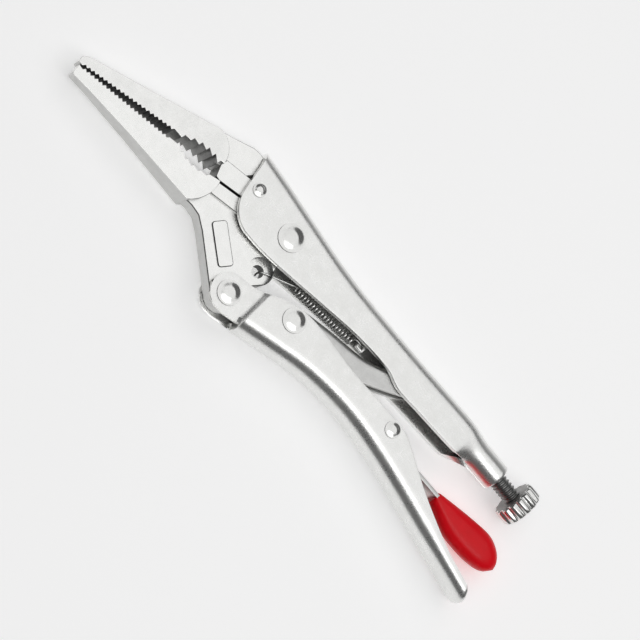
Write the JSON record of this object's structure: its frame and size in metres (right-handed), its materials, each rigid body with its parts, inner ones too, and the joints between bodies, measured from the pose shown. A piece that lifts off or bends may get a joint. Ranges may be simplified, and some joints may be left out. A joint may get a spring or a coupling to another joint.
{
  "type": "locking pliers",
  "caption": "Long-nose locking pliers with a wire cutter, an over-centre toggle link, an adjusting screw with a fluted knob and a red release lever.",
  "frame": {"origin": "centre of the tool's outline seen from the side, on the surface that it lies on", "axes": "+X from the jaws to the knob; +Z across the thickness, along every pivot; +Y from the lower handle to the upper one"},
  "size_m": [0.1666, 0.039, 0.0118],
  "materials": {
    "handle_steel": "satin bright plating over bent sheet steel",
    "jaw_steel": "satin plated forging, lightly ground",
    "link_steel": "plain plated sheet",
    "rivet_steel": "bright formed heads",
    "screw_steel": "dark oiled thread",
    "knob_steel": "bright fluted",
    "spring_steel": "bright spring wire",
    "grip_vinyl": "glossy dipped vinyl"
  },
  "bodies": {
    "frame": {"upper_handle": "handle_steel", "fixed_jaw": "jaw_steel", "main_pivot_rivet": "rivet_steel", "fixed_jaw_rivet": "rivet_steel", "return_spring": "spring_steel"},
    "moving_jaw": {"moving_jaw": "jaw_steel"},
    "lower_handle": {"lower_handle": "handle_steel", "jaw_handle_rivet": "rivet_steel", "link_rivet": "rivet_steel", "lever_rivet": "rivet_steel"},
    "toggle_link": {"toggle_link": "link_steel"},
    "release_lever": {"release_lever": "link_steel", "lever_grip": "grip_vinyl"},
    "screw_carrier": {"screw_tip": "screw_steel"},
    "screw": {"adjusting_screw": "screw_steel", "adjusting_knob": "knob_steel"}
  },
  "joints": [
    {"name": "moving_jaw_hinge", "type": "hinge", "parent": "frame", "child": "moving_jaw", "pos_m": [-0.01567, 0.0086, 0.0059], "axis": [0, 0, 1], "range_deg": [0, 24], "deforming": ["return_spring"]},
    {"name": "lower_handle_hinge", "type": "hinge", "parent": "moving_jaw", "child": "lower_handle", "pos_m": [-0.01637, -0.0132, 0.0059], "axis": [0, 0, 1], "range_deg": [-84, 0]},
    {"name": "toggle_link_hinge", "type": "hinge", "parent": "lower_handle", "child": "toggle_link", "pos_m": [-0.00017, -0.0051, 0.0059], "axis": [0, 0, 1], "range_deg": [0, 89]},
    {"name": "release_lever_hinge", "type": "hinge", "parent": "lower_handle", "child": "release_lever", "pos_m": [0.03733, -0.0038, 0.0059], "axis": [0, 0, 1], "range_deg": [-7, 0]},
    {"name": "screw_advance", "type": "slide", "parent": "frame", "child": "screw_carrier", "axis": [1, 0, 0], "range_m": [0, 0.0106]},
    {"name": "screw_turn", "type": "hinge", "parent": "screw_carrier", "child": "screw", "pos_m": [0.04403, 0.01145, 0.0059], "axis": [1, 0, 0], "range_deg": [0, 3601]}
  ],
  "couplings": [
    {"joint": "moving_jaw_hinge", "follows": "lower_handle_hinge", "ratio": -0.28571},
    {"joint": "toggle_link_hinge", "follows": "lower_handle_hinge", "ratio": -1.0595},
    {"joint": "screw_turn", "follows": "screw_advance", "rad_per_m": 5927.5}
  ]
}
